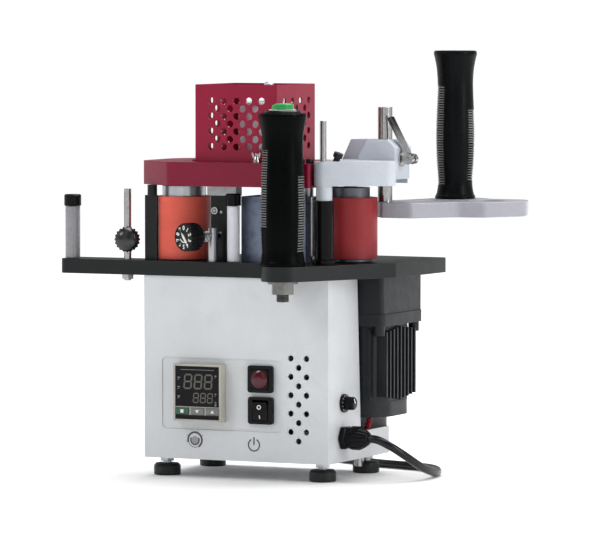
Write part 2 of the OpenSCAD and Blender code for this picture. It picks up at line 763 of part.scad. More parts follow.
housing_shell();
base_tray();
back_cover();
rubber_feet();
foot_studs();
controller_case();
set_button();
down_button();
up_button();
panel_bezels();
indicator_lens();
power_rocker();
speed_dial();
speed_knob();
cable_gland();
power_cord();
cord_coil();
power_plug();
control_board();
table_plate();
gearbox();
motor_body();
drive_pulley();
feed_core();
feed_tyre();
press_core();
press_tyre();
glue_roller();
drive_belt();
shaft_bearings();
glue_block();
heater_rods();
glue_pot();
pot_lid();
drive_cover();
perforated_guard();
machine_screws();
infeed_block();
roller_posts();
tape_roller();
pinch_roller();
stop_rod();
stop_collar();
stop_knob();
tension_post();
tension_spring();
tension_knob();
cutter_plate();
cutter_bar();
support_arm();
support_pillars();
tie_rod();
clamp_bolt();
clamp_lever();
height_rod();
platform();
rear_grip();
front_grip();
green_button();
handle_nut();
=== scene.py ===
"""Looks of a portable edge banding machine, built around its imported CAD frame. Lengths are in metres."""

import math

import bmesh
import bpy
from mathutils import Matrix, Vector


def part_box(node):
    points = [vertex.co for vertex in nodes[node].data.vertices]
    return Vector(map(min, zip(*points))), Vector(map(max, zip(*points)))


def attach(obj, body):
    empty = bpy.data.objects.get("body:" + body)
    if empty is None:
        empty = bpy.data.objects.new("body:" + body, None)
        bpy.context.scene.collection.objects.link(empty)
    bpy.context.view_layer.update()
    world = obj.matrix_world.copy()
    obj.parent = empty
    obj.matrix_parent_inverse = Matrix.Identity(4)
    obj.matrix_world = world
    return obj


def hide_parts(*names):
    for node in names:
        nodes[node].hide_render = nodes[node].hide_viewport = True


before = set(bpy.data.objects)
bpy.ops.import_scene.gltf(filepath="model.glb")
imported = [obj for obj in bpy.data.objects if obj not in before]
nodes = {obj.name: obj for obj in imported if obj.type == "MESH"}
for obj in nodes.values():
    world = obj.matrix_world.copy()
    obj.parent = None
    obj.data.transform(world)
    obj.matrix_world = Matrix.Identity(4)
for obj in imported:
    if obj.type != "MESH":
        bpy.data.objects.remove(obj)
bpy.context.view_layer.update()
MM = 0.001
HOUSING_LOW, HOUSING_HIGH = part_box("housing_shell")
CORNER = Vector((HOUSING_LOW.x, HOUSING_LOW.y, 0))


def at(x, y, z):
    """A point given in millimetres from the housing's left face, its front panel and the floor."""
    return CORNER + Vector((x, y, z)) * MM


# ---- camera ----
def add_camera():
    turn = math.radians(25.1)
    dip = math.radians(3.33)
    data = bpy.data.cameras.new("camera")
    data.sensor_width = 36
    data.lens = 300.5
    data.clip_end = 300
    camera = bpy.data.objects.new("camera", data)
    camera.location = (1.9677, -4.1846, 0.4525)
    camera.rotation_euler = (math.pi / 2 - dip, 0, turn)
    bpy.context.scene.collection.objects.link(camera)
    bpy.context.scene.camera = camera


add_camera()


# ---- materials: a Principled shader with layers of noise on colour, roughness and height ----
class Surface:
    def __init__(self, name, colour, roughness, metallic=0.0, coat=0.0, **sockets):
        self.material = bpy.data.materials.new(name)
        self.material.use_nodes = True
        self.tree = self.material.node_tree
        self.shader = self.tree.nodes["Principled BSDF"]
        self.place = self.node("ShaderNodeTexCoord").outputs["Object"]
        self.set("Metallic", metallic)
        self.set("Coat Weight", coat)
        self.set("Coat Roughness", 0.06)
        for socket, number in sockets.items():
            self.set(socket.replace("_", " "), number)
        self.colour = None
        self.plain_colour = (*colour, 1)
        self.set("Base Color", self.plain_colour)
        self.roughness = None
        self.plain_roughness = roughness
        self.set("Roughness", roughness)
        self.material.diffuse_color = self.plain_colour

    def node(self, kind, **settings):
        made = self.tree.nodes.new(kind)
        for key, value in settings.items():
            setattr(made, key, value)
        return made

    def set(self, socket, value):
        self.shader.inputs[socket].default_value = value

    def link(self, source, target):
        self.tree.links.new(source, target)

    def noise(self, size, detail=3.0, stretch=(1, 1, 1), low=0.35, high=0.65):
        """Noise with features about size metres across, spread to the range 0 to 1."""
        mapping = self.node("ShaderNodeMapping")
        mapping.inputs["Scale"].default_value = [1 / (size * s) for s in stretch]
        self.link(self.place, mapping.inputs["Vector"])
        noise = self.node("ShaderNodeTexNoise")
        noise.inputs["Scale"].default_value = 1.0
        noise.inputs["Detail"].default_value = detail
        self.link(mapping.outputs["Vector"], noise.inputs["Vector"])
        return self.ramp(noise.outputs["Fac"], low, high)

    def ramp(self, source, low, high, start=0.0, end=1.0):
        spread = self.node("ShaderNodeMapRange")
        for key, value in (("From Min", low), ("From Max", high), ("To Min", start), ("To Max", end)):
            spread.inputs[key].default_value = value
        self.link(source, spread.inputs["Value"])
        return spread.outputs["Result"]

    def edges(self, radius):
        """1 along edges, 0 on open faces."""
        rounded = self.node("ShaderNodeBevel", samples=4)
        rounded.inputs["Radius"].default_value = radius
        surface = self.node("ShaderNodeNewGeometry")
        dot = self.node("ShaderNodeVectorMath", operation="DOT_PRODUCT")
        self.link(rounded.outputs["Normal"], dot.inputs[0])
        self.link(surface.outputs["True Normal"], dot.inputs[1])
        return self.ramp(dot.outputs["Value"], 0.995, 0.9)

    def both(self, first, second):
        product = self.node("ShaderNodeMath", operation="MULTIPLY")
        self.link(first, product.inputs[0])
        self.link(second, product.inputs[1])
        return product.outputs["Value"]

    def tint(self, mask, colour, amount=1.0):
        """Moves the colour towards colour where mask is 1."""
        mix = self.node("ShaderNodeMix", data_type="RGBA")
        share = self.ramp(mask, 0, 1, 0, amount)
        self.link(share, mix.inputs[0])
        if self.colour is None:
            mix.inputs[6].default_value = self.plain_colour
        else:
            self.link(self.colour, mix.inputs[6])
        mix.inputs[7].default_value = (*colour, 1)
        self.colour = mix.outputs[2]
        self.link(self.colour, self.shader.inputs["Base Color"])

    def rub(self, mask, roughness, amount=1.0):
        """Moves the roughness towards roughness where mask is 1."""
        mix = self.node("ShaderNodeMix", data_type="FLOAT")
        share = self.ramp(mask, 0, 1, 0, amount)
        self.link(share, mix.inputs[0])
        if self.roughness is None:
            mix.inputs[2].default_value = self.plain_roughness
        else:
            self.link(self.roughness, mix.inputs[2])
        mix.inputs[3].default_value = roughness
        self.roughness = mix.outputs[0]
        self.link(self.roughness, self.shader.inputs["Roughness"])

    def bump(self, height, depth):
        """Raises the surface by up to depth metres where height is 1."""
        made = self.node("ShaderNodeBump")
        made.inputs["Strength"].default_value = 1.0
        made.inputs["Distance"].default_value = depth
        self.link(height, made.inputs["Height"])
        self.link(made.outputs["Normal"], self.shader.inputs["Normal"])

    def band(self, axis, low, high):
        """0 below low and 1 above high along one axis of the object."""
        split = self.node("ShaderNodeSeparateXYZ")
        self.link(self.place, split.inputs[0])
        return self.ramp(split.outputs[axis], low, high)


def scaled(colour, factor):
    return tuple(min(1.0, c * factor) for c in colour)


def painted(name, colour, roughness, grain, depth, coat=0.0, chips=(0.5, 0.5, 0.5), wear=0.5, **more):
    """Paint or powder coat: cloudy tone, orange peel, faint grime and worn edges."""
    look = Surface(name, colour, roughness, coat=coat, **more)
    look.tint(look.noise(0.05), scaled(colour, 0.86), 0.5)
    look.tint(look.noise(0.0025, 4, low=0.55, high=0.75), scaled(colour, 1.12), 0.35)
    look.tint(look.noise(0.02, 6, low=0.6, high=0.8), scaled(colour, 0.55), 0.18)
    worn = look.both(look.edges(0.0006), look.noise(0.006, 5, low=0.42, high=0.62))
    look.tint(worn, chips, wear)
    look.rub(look.noise(0.012, 4), min(1.0, roughness * 1.35), 0.7)
    look.bump(look.noise(grain, 2), depth)
    return look.material


def metal(name, colour, roughness, brush=(1, 1, 30), size=0.0004, depth=0.000008, stain=0.7, **more):
    """Bare metal: brush lines along one axis, smudges that dull it, and darker grime."""
    look = Surface(name, colour, roughness, metallic=1.0, **more)
    lines = look.noise(size, 3, brush, 0.3, 0.7)
    look.tint(lines, scaled(colour, 0.78), 0.5)
    look.tint(look.noise(0.009, 5, low=0.5, high=0.75), scaled(colour, stain), 0.6)
    look.rub(lines, roughness * 1.5, 0.6)
    look.rub(look.noise(0.006, 5, low=0.5, high=0.8), min(1.0, roughness + 0.22), 0.5)
    look.bump(lines, depth)
    return look.material


def moulded(name, colour, roughness, grain=0.0006, depth=0.00003, dust=0.08, **more):
    """Plastic or rubber: moulding grain, dust and a little sheen where it is handled."""
    look = Surface(name, colour, roughness, **more)
    look.tint(look.noise(0.004, 6, low=0.5, high=0.8), (0.35, 0.34, 0.32), dust)
    look.tint(look.noise(0.03), scaled(colour, 0.7), 0.6)
    look.rub(look.noise(0.01, 4), roughness * 0.65, 0.8)
    look.bump(look.noise(grain, 2), depth)
    return look.material


def silicone(name, colour, dark):
    """Silicone tyre: satin, darker towards its lower edge, with fine turned rings and rub marks."""
    look = Surface(name, colour, 0.42, Sheen_Weight=0.03, Specular_IOR_Level=0.3)
    look.tint(look.noise(0.03), scaled(colour, 0.85), 0.6)
    look.tint(look.noise(0.002, 4, (6, 6, 1), 0.5, 0.75), scaled(colour, 1.15), 0.3)
    low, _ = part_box("feed_tyre")
    look.tint(look.ramp(look.band("Z", low.z, low.z + 0.006), 0, 1, 1, 0), dark, 0.45)
    look.rub(look.noise(0.015, 5), 0.6, 0.7)
    look.bump(look.noise(0.0007, 2, (30, 30, 1)), 0.00003)
    return look.material


def glass_like(name, colour, roughness=0.08):
    """Clear coloured plastic with a little dust on it."""
    look = Surface(name, colour, roughness, coat=0.25, Specular_IOR_Level=0.25)
    look.tint(look.noise(0.003, 5, low=0.5, high=0.8), scaled(colour, 1.6), 0.3)
    look.tint(look.noise(0.008), scaled(colour, 0.5), 0.5)
    look.rub(look.noise(0.004, 4), 0.25, 0.5)
    look.bump(look.noise(0.001, 1), 0.00001)
    return look.material


looks = {
    "powder": painted("powder_coat", (0.55, 0.567, 0.582), 0.42, 0.0007, 0.000035,
                      chips=(0.45, 0.45, 0.45), wear=0.3),
    "black_coat": painted("black_coat", (0.0042, 0.0062, 0.0064), 0.32, 0.0012, 0.00004,
                          chips=(0.14, 0.14, 0.15), wear=0.35, Specular_IOR_Level=0.25),
    "motor_black": painted("motor_black", (0.0075, 0.0098, 0.0118), 0.4, 0.0016, 0.00006,
                           chips=(0.1, 0.1, 0.11), wear=0.35, Specular_IOR_Level=0.25),
    "crimson": painted("crimson", (0.24, 0.004, 0.028), 0.32, 0.0025, 0.00003, coat=0.12,
                       chips=(0.45, 0.12, 0.15), wear=0.4, Specular_IOR_Level=0.2),
    "crimson_dark": painted("crimson_cover", (0.165, 0.003, 0.022), 0.28, 0.0025, 0.00003, coat=0.15,
                            chips=(0.45, 0.12, 0.15), wear=0.4, Specular_IOR_Level=0.2),
    "white_cast": painted("white_enamel", (0.47, 0.505, 0.555), 0.3, 0.0022, 0.00008, coat=0.3,
                          chips=(0.45, 0.45, 0.5), wear=0.25),
    # The arm's white enamel made darker for the platform: painted shade for its shaded fronts.
    "platform_shaded_cast": painted("platform_shaded_enamel", (0.30, 0.30, 0.34), 0.3, 0.0022, 0.00008, coat=0.3,
                             chips=(0.42, 0.42, 0.47), wear=0.25),
    "nut_metal": metal("nut_chrome", (0.16, 0.16, 0.155), 0.2, (1, 1, 1), 0.003, 0.000003, 0.8),
    "chrome": metal("chrome", (0.39, 0.39, 0.385), 0.12, (1, 1, 1), 0.003, 0.000003, 0.8),
    "steel": metal("turned_steel", (0.46, 0.47, 0.49), 0.28, (20, 20, 1)),
    "hub_steel": metal("hub_steel", (0.12, 0.125, 0.14), 0.36, (20, 20, 1)),
    "dark_steel": metal("blackened_steel", (0.035, 0.035, 0.038), 0.35, (1, 1, 1), 0.001, 0.00002, 0.6),
    "block_steel": metal("heated_block", (0.17, 0.20, 0.27), 0.38, (1, 1, 1), 0.004, 0.00003, 0.4),
    "pot_metal": metal("pot_aluminium", (0.66, 0.69, 0.75), 0.3, (20, 20, 1), 0.0006, 0.00001, 0.8),
    "bar_metal": metal("bar_steel", (0.38, 0.38, 0.39), 0.4, (30, 1, 1), 0.0006, 0.00002, 0.6),
    "orange": silicone("orange_silicone", (0.62, 0.094, 0.062), (0.3, 0.04, 0.045)),
    "red": silicone("red_silicone", (0.22, 0.009, 0.012), (0.12, 0.012, 0.016)),
    "rubber": moulded("black_rubber", (0.008, 0.009, 0.0095), 0.5, 0.0009, 0.00004,
                      Specular_IOR_Level=0.3),
    "grip": moulded("grip_rubber", (0.0030, 0.0038, 0.0042), 0.34, 0.0008, 0.00003, 0.003,
                    Specular_IOR_Level=0.06),
    # The same grip rubber made darker for the front grip: painted shade.
    "grip_shaded": moulded("grip_shaded", (0.0012, 0.0015, 0.0016), 0.34, 0.0008, 0.00003, 0.002,
                         Specular_IOR_Level=0.03),
    # Light grey for the tops of the finger ribs: a painted highlight where they catch the light.
    "rib_tip_highlight": moulded("rib_tip_highlight", (0.15, 0.155, 0.15), 0.5, 0.0008, 0.00002, 0.1, Specular_IOR_Level=0.2),
    "knob_gloss": moulded("knob_gloss", (0.007, 0.009, 0.011), 0.26, 0.002, 0.00001, 0.006,
                          Specular_IOR_Level=0.5),
    "plastic": moulded("black_plastic", (0.005, 0.0052, 0.006), 0.32, 0.0007, 0.00002, 0.006,
                       Specular_IOR_Level=0.16),
    "gloss": moulded("gloss_black", (0.004, 0.004, 0.005), 0.16, 0.002, 0.00001, 0.006,
                     Specular_IOR_Level=0.11),
    "sheath": moulded("cord_sheath", (0.004, 0.004, 0.005), 0.22, 0.0015, 0.00002, 0.01,
                      Specular_IOR_Level=0.3),
    "case": moulded("controller_frame", (0.40, 0.385, 0.33), 0.45, 0.0006, 0.00002, 0.05),
    "grey_sleeve": moulded("grey_sleeve", (0.22, 0.22, 0.235), 0.3, 0.0008, 0.00001, 0.1, Coat_Weight=0.4),
    "pale_sleeve": moulded("pale_sleeve", (0.60, 0.61, 0.66), 0.35, 0.0008, 0.00001, 0.1),
    "green_key": moulded("green_key", (0.010, 0.075, 0.045), 0.35, 0.0005, 0.00001, 0.05),
    "grey_key": moulded("grey_key", (0.14, 0.15, 0.145), 0.4, 0.0005, 0.00001, 0.05),
    "digit": moulded("unlit_digit", (0.085, 0.078, 0.064), 0.4, 0.0005, 0.000005, 0.05),
    "pale_print": moulded("pale_print", (0.70, 0.70, 0.68), 0.5, 0.0005, 0.000005, 0.1),
    "dark_print": moulded("dark_print", (0.05, 0.05, 0.055), 0.5, 0.0005, 0.000005, 0.05),
    "grey_print": moulded("grey_print", (0.25, 0.25, 0.27), 0.4, 0.0005, 0.000005, 0.05),
    "lens": glass_like("red_lens", (0.065, 0.0015, 0.007)),
    "green": glass_like("green_cap", (0.015, 0.30, 0.06), 0.15),
    "board": moulded("solder_mask", (0.01, 0.10, 0.03), 0.35, 0.0005, 0.00002, 0.1),
    "red_wire": moulded("red_wire", (0.35, 0.01, 0.015), 0.35, 0.0005, 0.00001, 0.1),
}

NODE_LOOKS = {
    "powder": ["housing_shell", "base_tray", "back_cover"],
    "rubber": ["rubber_feet", "drive_belt"],
    "steel": ["foot_studs", "drive_pulley", "feed_core", "glue_roller", "shaft_bearings", "heater_rods",
              "tension_post", "tension_spring"],
    "hub_steel": ["press_core"],
    "chrome": ["stop_rod", "tie_rod", "clamp_bolt", "clamp_lever", "height_rod"],
    "nut_metal": ["handle_nut"],
    "case": ["controller_case"],
    "green_key": ["set_button"],
    "grey_key": ["down_button", "up_button"],
    "gloss": ["panel_bezels", "power_rocker", "support_pillars", "roller_posts"],
    "lens": ["indicator_lens"],
    "plastic": ["speed_dial", "speed_knob", "cable_gland", "stop_knob", "tension_knob"],
    "sheath": ["power_cord", "cord_coil", "power_plug"],
    "board": ["control_board"],
    "black_coat": ["table_plate", "infeed_block", "cutter_plate"],
    "motor_black": ["gearbox", "motor_body"],
    "orange": ["feed_tyre"],
    "red": ["press_tyre"],
    "block_steel": ["glue_block"],
    "pot_metal": ["glue_pot", "pot_lid"],
    "crimson": ["perforated_guard"],
    "crimson_dark": ["drive_cover"],
    "dark_steel": ["machine_screws", "stop_collar"],
    "grey_sleeve": ["tape_roller"],
    "pale_sleeve": ["pinch_roller"],
    "bar_metal": ["cutter_bar"],
    "white_cast": ["support_arm"],
    "platform_shaded_cast": ["platform"],
    "grip": ["rear_grip", "front_grip"],
    "green": ["green_button"],
}

# Widths of the nodes' rounded edges in millimetres. Edges from BROAD_EDGE up get more segments.
PLAIN_EDGE = 0.35
BROAD_EDGE = 1.5
EDGE_WIDTHS = {"table_plate": 0.9, "drive_cover": 0.8, "support_arm": 2.0, "platform": 1.3,
               "housing_shell": 0.7, "gearbox": 1.0, "motor_body": 0.5, "controller_case": 0.6,
               "panel_bezels": 0.6, "perforated_guard": 0.3, "glue_block": 0.5, "power_rocker": 0.5,
               "clamp_lever": 0.4, "green_button": 2.4}


def soften(node, width):
    """Rounds a CAD node's sharp edges for show, by modifiers that leave its own mesh alone."""
    obj = nodes[node]
    mesh = obj.data
    if "custom_normal" in mesh.attributes:
        mesh.attributes.remove(mesh.attributes["custom_normal"])
    mesh.polygons.foreach_set("use_smooth", [True] * len(mesh.polygons))
    weld = obj.modifiers.new("weld", "WELD")
    weld.merge_threshold = 0.000002
    flat = obj.modifiers.new("flat", "DECIMATE")
    flat.decimate_type = "DISSOLVE"
    flat.angle_limit = math.radians(0.4)
    bevel = obj.modifiers.new("bevel", "BEVEL")
    bevel.width = width * MM
    bevel.segments = 2 if width < BROAD_EDGE else 5
    bevel.limit_method = "ANGLE"
    bevel.angle_limit = math.radians(35)
    bevel.harden_normals = True


for look, members in NODE_LOOKS.items():
    for node in members:
        nodes[node].data.materials.clear()
        nodes[node].data.materials.append(looks[look])
        soften(node, EDGE_WIDTHS.get(node, PLAIN_EDGE))


# ---- mesh helpers ----
def show(name, bm, look, body="machine", smooth=True, replaced=()):
    """Links a finished bmesh as a piece that rides a body."""
    bmesh.ops.recalc_face_normals(bm, faces=bm.faces)
    mesh = bpy.data.meshes.new(name)
    bm.to_mesh(mesh)
    bm.free()
    mesh.materials.append(looks[look])
    mesh.polygons.foreach_set("use_smooth", [smooth] * len(mesh.polygons))
    if smooth:
        mesh.set_sharp_from_angle(angle=math.radians(38))
    obj = bpy.data.objects.new(name, mesh)
    bpy.context.scene.collection.objects.link(obj)
    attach(obj, body)
    if replaced:
        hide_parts(*replaced)
    return obj


def facing(origin, axis, up=Vector((0, 0, 1))):
    """A frame at origin whose local Z is axis and whose local Y is as near up as it can be."""
    z = Vector(axis).normalized()
    x = up.cross(z).normalized() if abs(up.dot(z)) < 0.99 else Vector((1, 0, 0))
    y = z.cross(x)
    return Matrix.Translation(origin) @ Matrix((x, y, z)).transposed().to_4x4()


def in_mm(pairs):
    """The same pairs of numbers, turned from millimetres into metres."""
    return [(a * MM, b * MM) for a, b in pairs]


def lathe(bm, profile, where, sides=48, wobble=None):
    """Turns (radius, height) pairs about local Z. wobble gives the radius from angle, radius and height."""
    rings = []
    for radius, height in profile:
        ring = []
        for k in range(sides):
            angle = 2 * math.pi * k / sides
            r = wobble(angle, radius, height) if wobble else radius
            ring.append(bm.verts.new(where @ Vector((r * math.cos(angle), r * math.sin(angle), height))))
        rings.append(ring)
    for low, high in zip(rings, rings[1:]):
        for k in range(sides):
            j = (k + 1) % sides
            bm.faces.new((low[k], low[j], high[j], high[k]))
    bm.faces.new(list(reversed(rings[0])))
    bm.faces.new(rings[-1])


def prism(bm, outline, where, low, high):
    """A flat outline raised from low to high along local Z."""
    bottom = [bm.verts.new(where @ Vector((x, y, low))) for x, y in outline]
    top = [bm.verts.new(where @ Vector((x, y, high))) for x, y in outline]
    count = len(outline)
    for k in range(count):
        j = (k + 1) % count
        bm.faces.new((bottom[k], bottom[j], top[j], top[k]))
    bm.faces.new(list(reversed(bottom)))
    bm.faces.new(top)


def rectangle(x, y, w, h, r=0.0):
    """Outline of a rectangle centred on x, y, with corners of radius r."""
    if r == 0:
        return [(x + sx * w / 2, y + sy * h / 2) for sx, sy in ((-1, -1), (1, -1), (1, 1), (-1, 1))]
    points = []
    steps = 4
    for quarter, (sx, sy) in enumerate(((1, 1), (-1, 1), (-1, -1), (1, -1))):
        for k in range(steps + 1):
            a = math.pi / 2 * (quarter + k / steps)
            points.append((x + sx * (w / 2 - r) + r * math.cos(a), y + sy * (h / 2 - r) + r * math.sin(a)))
    return points


def arc_band(bm, where, inner, outer, start, end, low, high, steps=32):
    """Part of a flat ring, from start to end in degrees."""
    angles = [math.radians(start + (end - start) * k / steps) for k in range(steps + 1)]
    for a, b in zip(angles, angles[1:]):
        corners = [(inner, a), (outer, a), (outer, b), (inner, b)]
        prism(bm, [(r * math.cos(t), r * math.sin(t)) for r, t in corners], where, low, high)
    bmesh.ops.remove_doubles(bm, verts=bm.verts, dist=1e-7)


def smooth_path(points, steps):
    """Points along a Catmull-Rom curve through the given ones."""
    points = [Vector(p) for p in points]
    padded = [2 * points[0] - points[1], *points, 2 * points[-1] - points[-2]]
    path = []
    for i in range(1, len(padded) - 2):
        a, b, c, d = padded[i - 1:i + 3]
        for k in range(steps):
            t = k / steps
            path.append(0.5 * (2 * b + (c - a) * t + (2 * a - 5 * b + 4 * c - d) * t * t
                               + (3 * b - 3 * c + d - a) * t ** 3))
    path.append(points[-1])
    return path


def spline_profile(points, steps):
    """A smooth (radius, height) profile through a few of them."""
    return [(p.x, p.y) for p in smooth_path([(r, h, 0) for r, h in points], steps)]


def wire(name, path, radius, look, resolution=4):
    """A round wire or sheath along a path, as a curve of one open spline."""
    curve = bpy.data.curves.new(name, "CURVE")
    curve.dimensions = "3D"
    curve.bevel_depth = radius
    curve.bevel_resolution = resolution
    curve.use_fill_caps = True
    spline = curve.splines.new("POLY")
    spline.points.add(len(path) - 1)
    for point, place in zip(spline.points, path):
        point.co = (*place, 1)
    curve.materials.append(looks[look])
    obj = bpy.data.objects.new(name, curve)
    bpy.context.scene.collection.objects.link(obj)
    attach(obj, "machine")
    return obj


# ---- mains lead: the free part of the route, six turns of stored coil, and the tail to the plug ----
CORD_DIAMETER = 0.0075
# Points of the route in metres from the housing's corner.
CORD_PATH = [(0.214, 0.032, 0.040), (0.222, 0.032, 0.039), (0.230, 0.0335, 0.0355), (0.238, 0.038, 0.030),
             (0.2445, 0.046, 0.0235), (0.2485, 0.057, 0.017), (0.2505, 0.070, 0.0115), (0.251, 0.084, 0.0075),
             (0.250, 0.098, 0.005), (0.247, 0.111, 0.0042), (0.242, 0.123, 0.004), (0.235, 0.134, 0.004),
             (0.226, 0.143, 0.004), (0.215, 0.150, 0.004), (0.203, 0.155, 0.004), (0.190, 0.159, 0.004),
             (0.176, 0.163, 0.004), (0.162, 0.168, 0.004), (0.148, 0.174, 0.004), (0.134, 0.181, 0.004),
             (0.120, 0.1885, 0.004), (0.106, 0.196, 0.004), (0.092, 0.203, 0.004), (0.078, 0.2085, 0.004),
             (0.064, 0.212, 0.004), (0.052, 0.2133, 0.004)]
TAIL_PATH = [(-0.0105, 0.275, 0.010), (-0.0105, 0.286, 0.0086), (-0.0105, 0.298, 0.0088),
             (-0.0105, 0.309, 0.0106), (-0.0105, 0.319, 0.0128), (-0.0105, 0.327, 0.0138),
             (-0.0105, 0.333, 0.014)]
COIL_CENTRE = Vector((0.040, 0.264, 0))
COIL_MIDDLE = 0.043
# The lane of each turn: steps outwards from the middle of the bundle, and the layer that it lies in.
LANES = [(1, 0), (0, 0), (-1, 0), (-1, 1), (0, 1), (1, 1)]
LAST_TURN = 5.25
POINTS_PER_TURN = 36
SHIFT_START = 0.78
SHIFT_LENGTH = 0.17


def coil_points():
    """Turns of the stored coil: each lane runs one turn and shifts to the next one near its end."""
    points = []
    for k in range(int(LAST_TURN * POINTS_PER_TURN) + 1):
        turns = k / POINTS_PER_TURN
        lane = min(int(turns), len(LANES) - 1)
        shift = min(1.0, max(0.0, (turns - lane - SHIFT_START) / SHIFT_LENGTH))
        shift = shift * shift * (3 - 2 * shift)
        here = LANES[lane]
        after = LANES[min(lane + 1, len(LANES) - 1)]
        radius = COIL_MIDDLE + CORD_DIAMETER * (here[0] + (after[0] - here[0]) * shift)
        level = here[1] + (after[1] - here[1]) * shift
        angle = -math.pi / 2 - 2 * math.pi * turns
        points.append(COIL_CENTRE + Vector((radius * math.cos(angle), radius * math.sin(angle),
                                            CORD_DIAMETER * (0.52 + level))))
    return points


def add_cord():
    free = smooth_path([CORNER + Vector(p) for p in CORD_PATH], 3)
    coil = [CORNER + p for p in coil_points()]
    tail = smooth_path([CORNER + Vector(p) for p in TAIL_PATH], 3)
    path = free + coil + tail
    cord = wire("mains_cord", path, CORD_DIAMETER / 2, "sheath", resolution=6)
    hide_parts("power_cord", "cord_coil")
    tie = coil_tie()


def coil_tie():
    """A hook-and-loop strap round the bundle, at the back of the coil."""
    bm = bmesh.new()
    where = facing(CORNER + COIL_CENTRE + Vector((0, COIL_MIDDLE, CORD_DIAMETER)), (1, 0, 0))
    outer = rectangle(0, 0, 3 * CORD_DIAMETER + 0.0012, 2 * CORD_DIAMETER - 0.0002, 0.003)
    inner = rectangle(0, 0, 3 * CORD_DIAMETER - 0.0004, 2 * CORD_DIAMETER - 0.0012, 0.003)
    rings = [[bm.verts.new(where @ Vector((x, y, z))) for x, y in shape]
             for shape, z in ((outer, -0.006), (outer, 0.006), (inner, 0.006), (inner, -0.006))]
    for first, second in zip(rings, rings[1:] + rings[:1]):
        for k in range(len(outer)):
            j = (k + 1) % len(outer)
            bm.faces.new((first[k], first[j], second[j], second[k]))
    return show("coil_tie", bm, "rubber")


add_cord()


# ---- grips ----
RIB_PITCH = 0.0023
RIB_DEPTH = 0.0011
RINGS_PER_RIB = 6
# Share of the depth by which a rib's top stands above the plain outline.
RIB_PROUD = 0.15
# Angle and height over which the ribs fade out at the sides and ends of a window.
FADE_ANGLE = 0.15
FADE_HEIGHT = 0.002


def angle_between(first, second):
    return abs((first - second + math.pi) % (2 * math.pi) - math.pi)


def ramp_up(value, width):
    """0 below zero, 1 above width, and straight between."""
    return min(1.0, max(0.0, value / width))


def rib_wave(height):
    """1 on the top of a rib and -1 at the bottom of a groove."""
    return math.cos(2 * math.pi * height / RIB_PITCH)


def ribbed(windows):
    """Finger ribs: windows are (middle angle, half width, lowest, highest)."""
    def wobble(angle, radius, height):
        for middle, half, low, high in windows:
            share = (ramp_up(half - angle_between(angle, middle), FADE_ANGLE)
                     * ramp_up(height - low, FADE_HEIGHT) * ramp_up(high - height, FADE_HEIGHT))
            rib = 0.5 + 0.5 * rib_wave(height - low)
            radius -= RIB_DEPTH * share * (1 - RIB_PROUD - rib)
        return radius
    return wobble


def on_rib_tip(angle, height, windows):
    """True on the top of a finger rib, where a lighter colour paints the highlight."""
    side_margin = 0.1
    end_margin = 0.001
    for middle, half, low, high in windows:
        inside = low + end_margin < height < high - end_margin
        if inside and angle_between(angle, middle) < half - side_margin:
            return rib_wave(height - low) > 0.1
    return False


def even_rings(profile, step):
    """The same profile with its rings an equal distance apart, so that every rib gets the same number."""
    rings = [profile[0]]
    travelled = 0.0
    for (r0, h0), (r1, h1) in zip(profile, profile[1:]):
        length = math.hypot(r1 - r0, h1 - h0)
        while length > 0 and travelled + length >= step * len(rings):
            part = (step * len(rings) - travelled) / length
            rings.append((r0 + (r1 - r0) * part, h0 + (h1 - h0) * part))
        travelled += length
    return rings + [profile[-1]]


def add_grip(name, node, body, outline, windows, look):
    """A rubber sleeve over a grip, with the tops of its ribs in a second, lighter material: a painted
    highlight.
    """
    low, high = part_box(node)
    origin = Vector(((low.x + high.x) / 2, (low.y + high.y) / 2, low.z))
    profile = even_rings(spline_profile(in_mm(outline), 8), RIB_PITCH / RINGS_PER_RIB)
    bm = bmesh.new()
    lathe(bm, profile, Matrix.Translation(origin), 96, ribbed(windows))
    for face in bm.faces:
        spot = face.calc_center_median() - origin
        if on_rib_tip(math.atan2(spot.y, spot.x), spot.z, windows):
            face.material_index = 1
    sleeve = show(name, bm, look, body, replaced=(node,))
    sleeve.data.materials.append(looks["rib_tip_highlight"])


# The two sides of a grip that have ribs, and the (radius, height) outlines of the grips in millimetres.
LEFT = math.radians(205)
RIGHT = math.radians(25)
FRONT_GRIP = [(20.4, 0), (20.5, 0.6), (20.5, 3), (19.6, 6), (18.9, 14), (19.5, 28), (20, 42), (19.9, 60),
              (19.5, 78), (18.7, 96), (18.4, 108), (18.9, 119), (20.6, 129), (21.7, 134.5), (21.8, 136.6),
              (21, 138), (17, 138.4)]
REAR_GRIP = [(18, 0), (18.8, 0.8), (18.8, 2.2), (17.4, 5), (16.2, 12), (16.3, 20), (17.4, 34), (18.1, 52),
             (18.1, 66), (17.4, 84), (16.7, 100), (16.6, 110), (17.4, 121), (19, 130), (20, 134), (20, 136.6),
             (19.2, 138)]
# The front grip takes the darker copy of the rubber, which paints its shade.
add_grip("front_grip_sleeve", "front_grip", "machine", FRONT_GRIP,
         [(LEFT, 0.85, 0.034, 0.106), (RIGHT, 0.85, 0.012, 0.084)], "grip_shaded")
add_grip("rear_grip_sleeve", "rear_grip", "height_carriage", REAR_GRIP,
         [(LEFT, 0.95, 0.012, 0.106), (RIGHT, 0.95, 0.016, 0.084)], "grip")


def add_trigger_collar():
    """The black collar and pale rim round the push button on the front grip."""
    low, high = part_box("front_grip")
    centre = Vector(((low.x + high.x) / 2, (low.y + high.y) / 2, high.z))
    bm = bmesh.new()
    rim = [(17.5, -3), (17.6, -1.4), (16.4, -0.3), (11.6, 0), (10.8, -0.6), (10.8, -3)]
    lathe(bm, in_mm(rim), Matrix.Translation(centre), 64)
    show("trigger_collar", bm, "gloss")
    bm = bmesh.new()
    ring = [(12.8, -0.4), (12.8, 0.35), (11.4, 0.45), (10.7, 0.3), (10.7, -0.4)]
    lathe(bm, in_mm(ring), Matrix.Translation(centre), 64)
    show("trigger_rim", bm, "pale_print")


add_trigger_collar()


